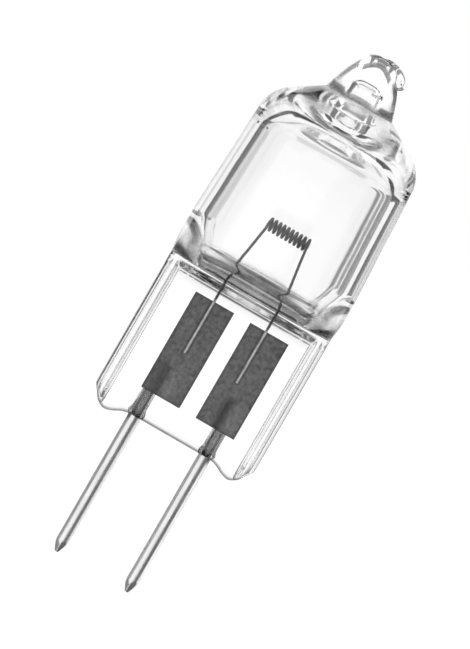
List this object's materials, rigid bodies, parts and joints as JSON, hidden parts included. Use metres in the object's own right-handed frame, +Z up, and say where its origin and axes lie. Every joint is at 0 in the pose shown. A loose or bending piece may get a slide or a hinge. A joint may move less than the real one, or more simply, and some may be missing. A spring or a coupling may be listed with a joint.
{
  "type": "halogen capsule bulb",
  "caption": "Clear quartz halogen capsule bulb with a melted-off exhaust tip, a coiled filament and a flat press seal that holds sealing foils and straight push-in base pins.",
  "frame": {"origin": "midway between the base pins on the base plane, where the flat lower face of the press seal lies and the pins leave the glass", "axes": "+Z up the lamp from the pins to the exhaust tip, +X from the left pin to the right one across the wide side of the seal, -Y the front, which the foils face"},
  "size_m": [0.0092, 0.0092, 0.0293],
  "materials": {
    "quartz": "clear fused quartz, fire polished",
    "tungsten": "dull drawn wire",
    "foil": "matt rolled foil sealed in quartz",
    "pin": "bright drawn wire"
  },
  "bodies": {
    "root": {"base_pin_left": "pin", "base_pin_right": "pin", "foil_left": "foil", "foil_right": "foil", "filament": "tungsten", "quartz_envelope": "quartz"}
  },
  "joints": []
}
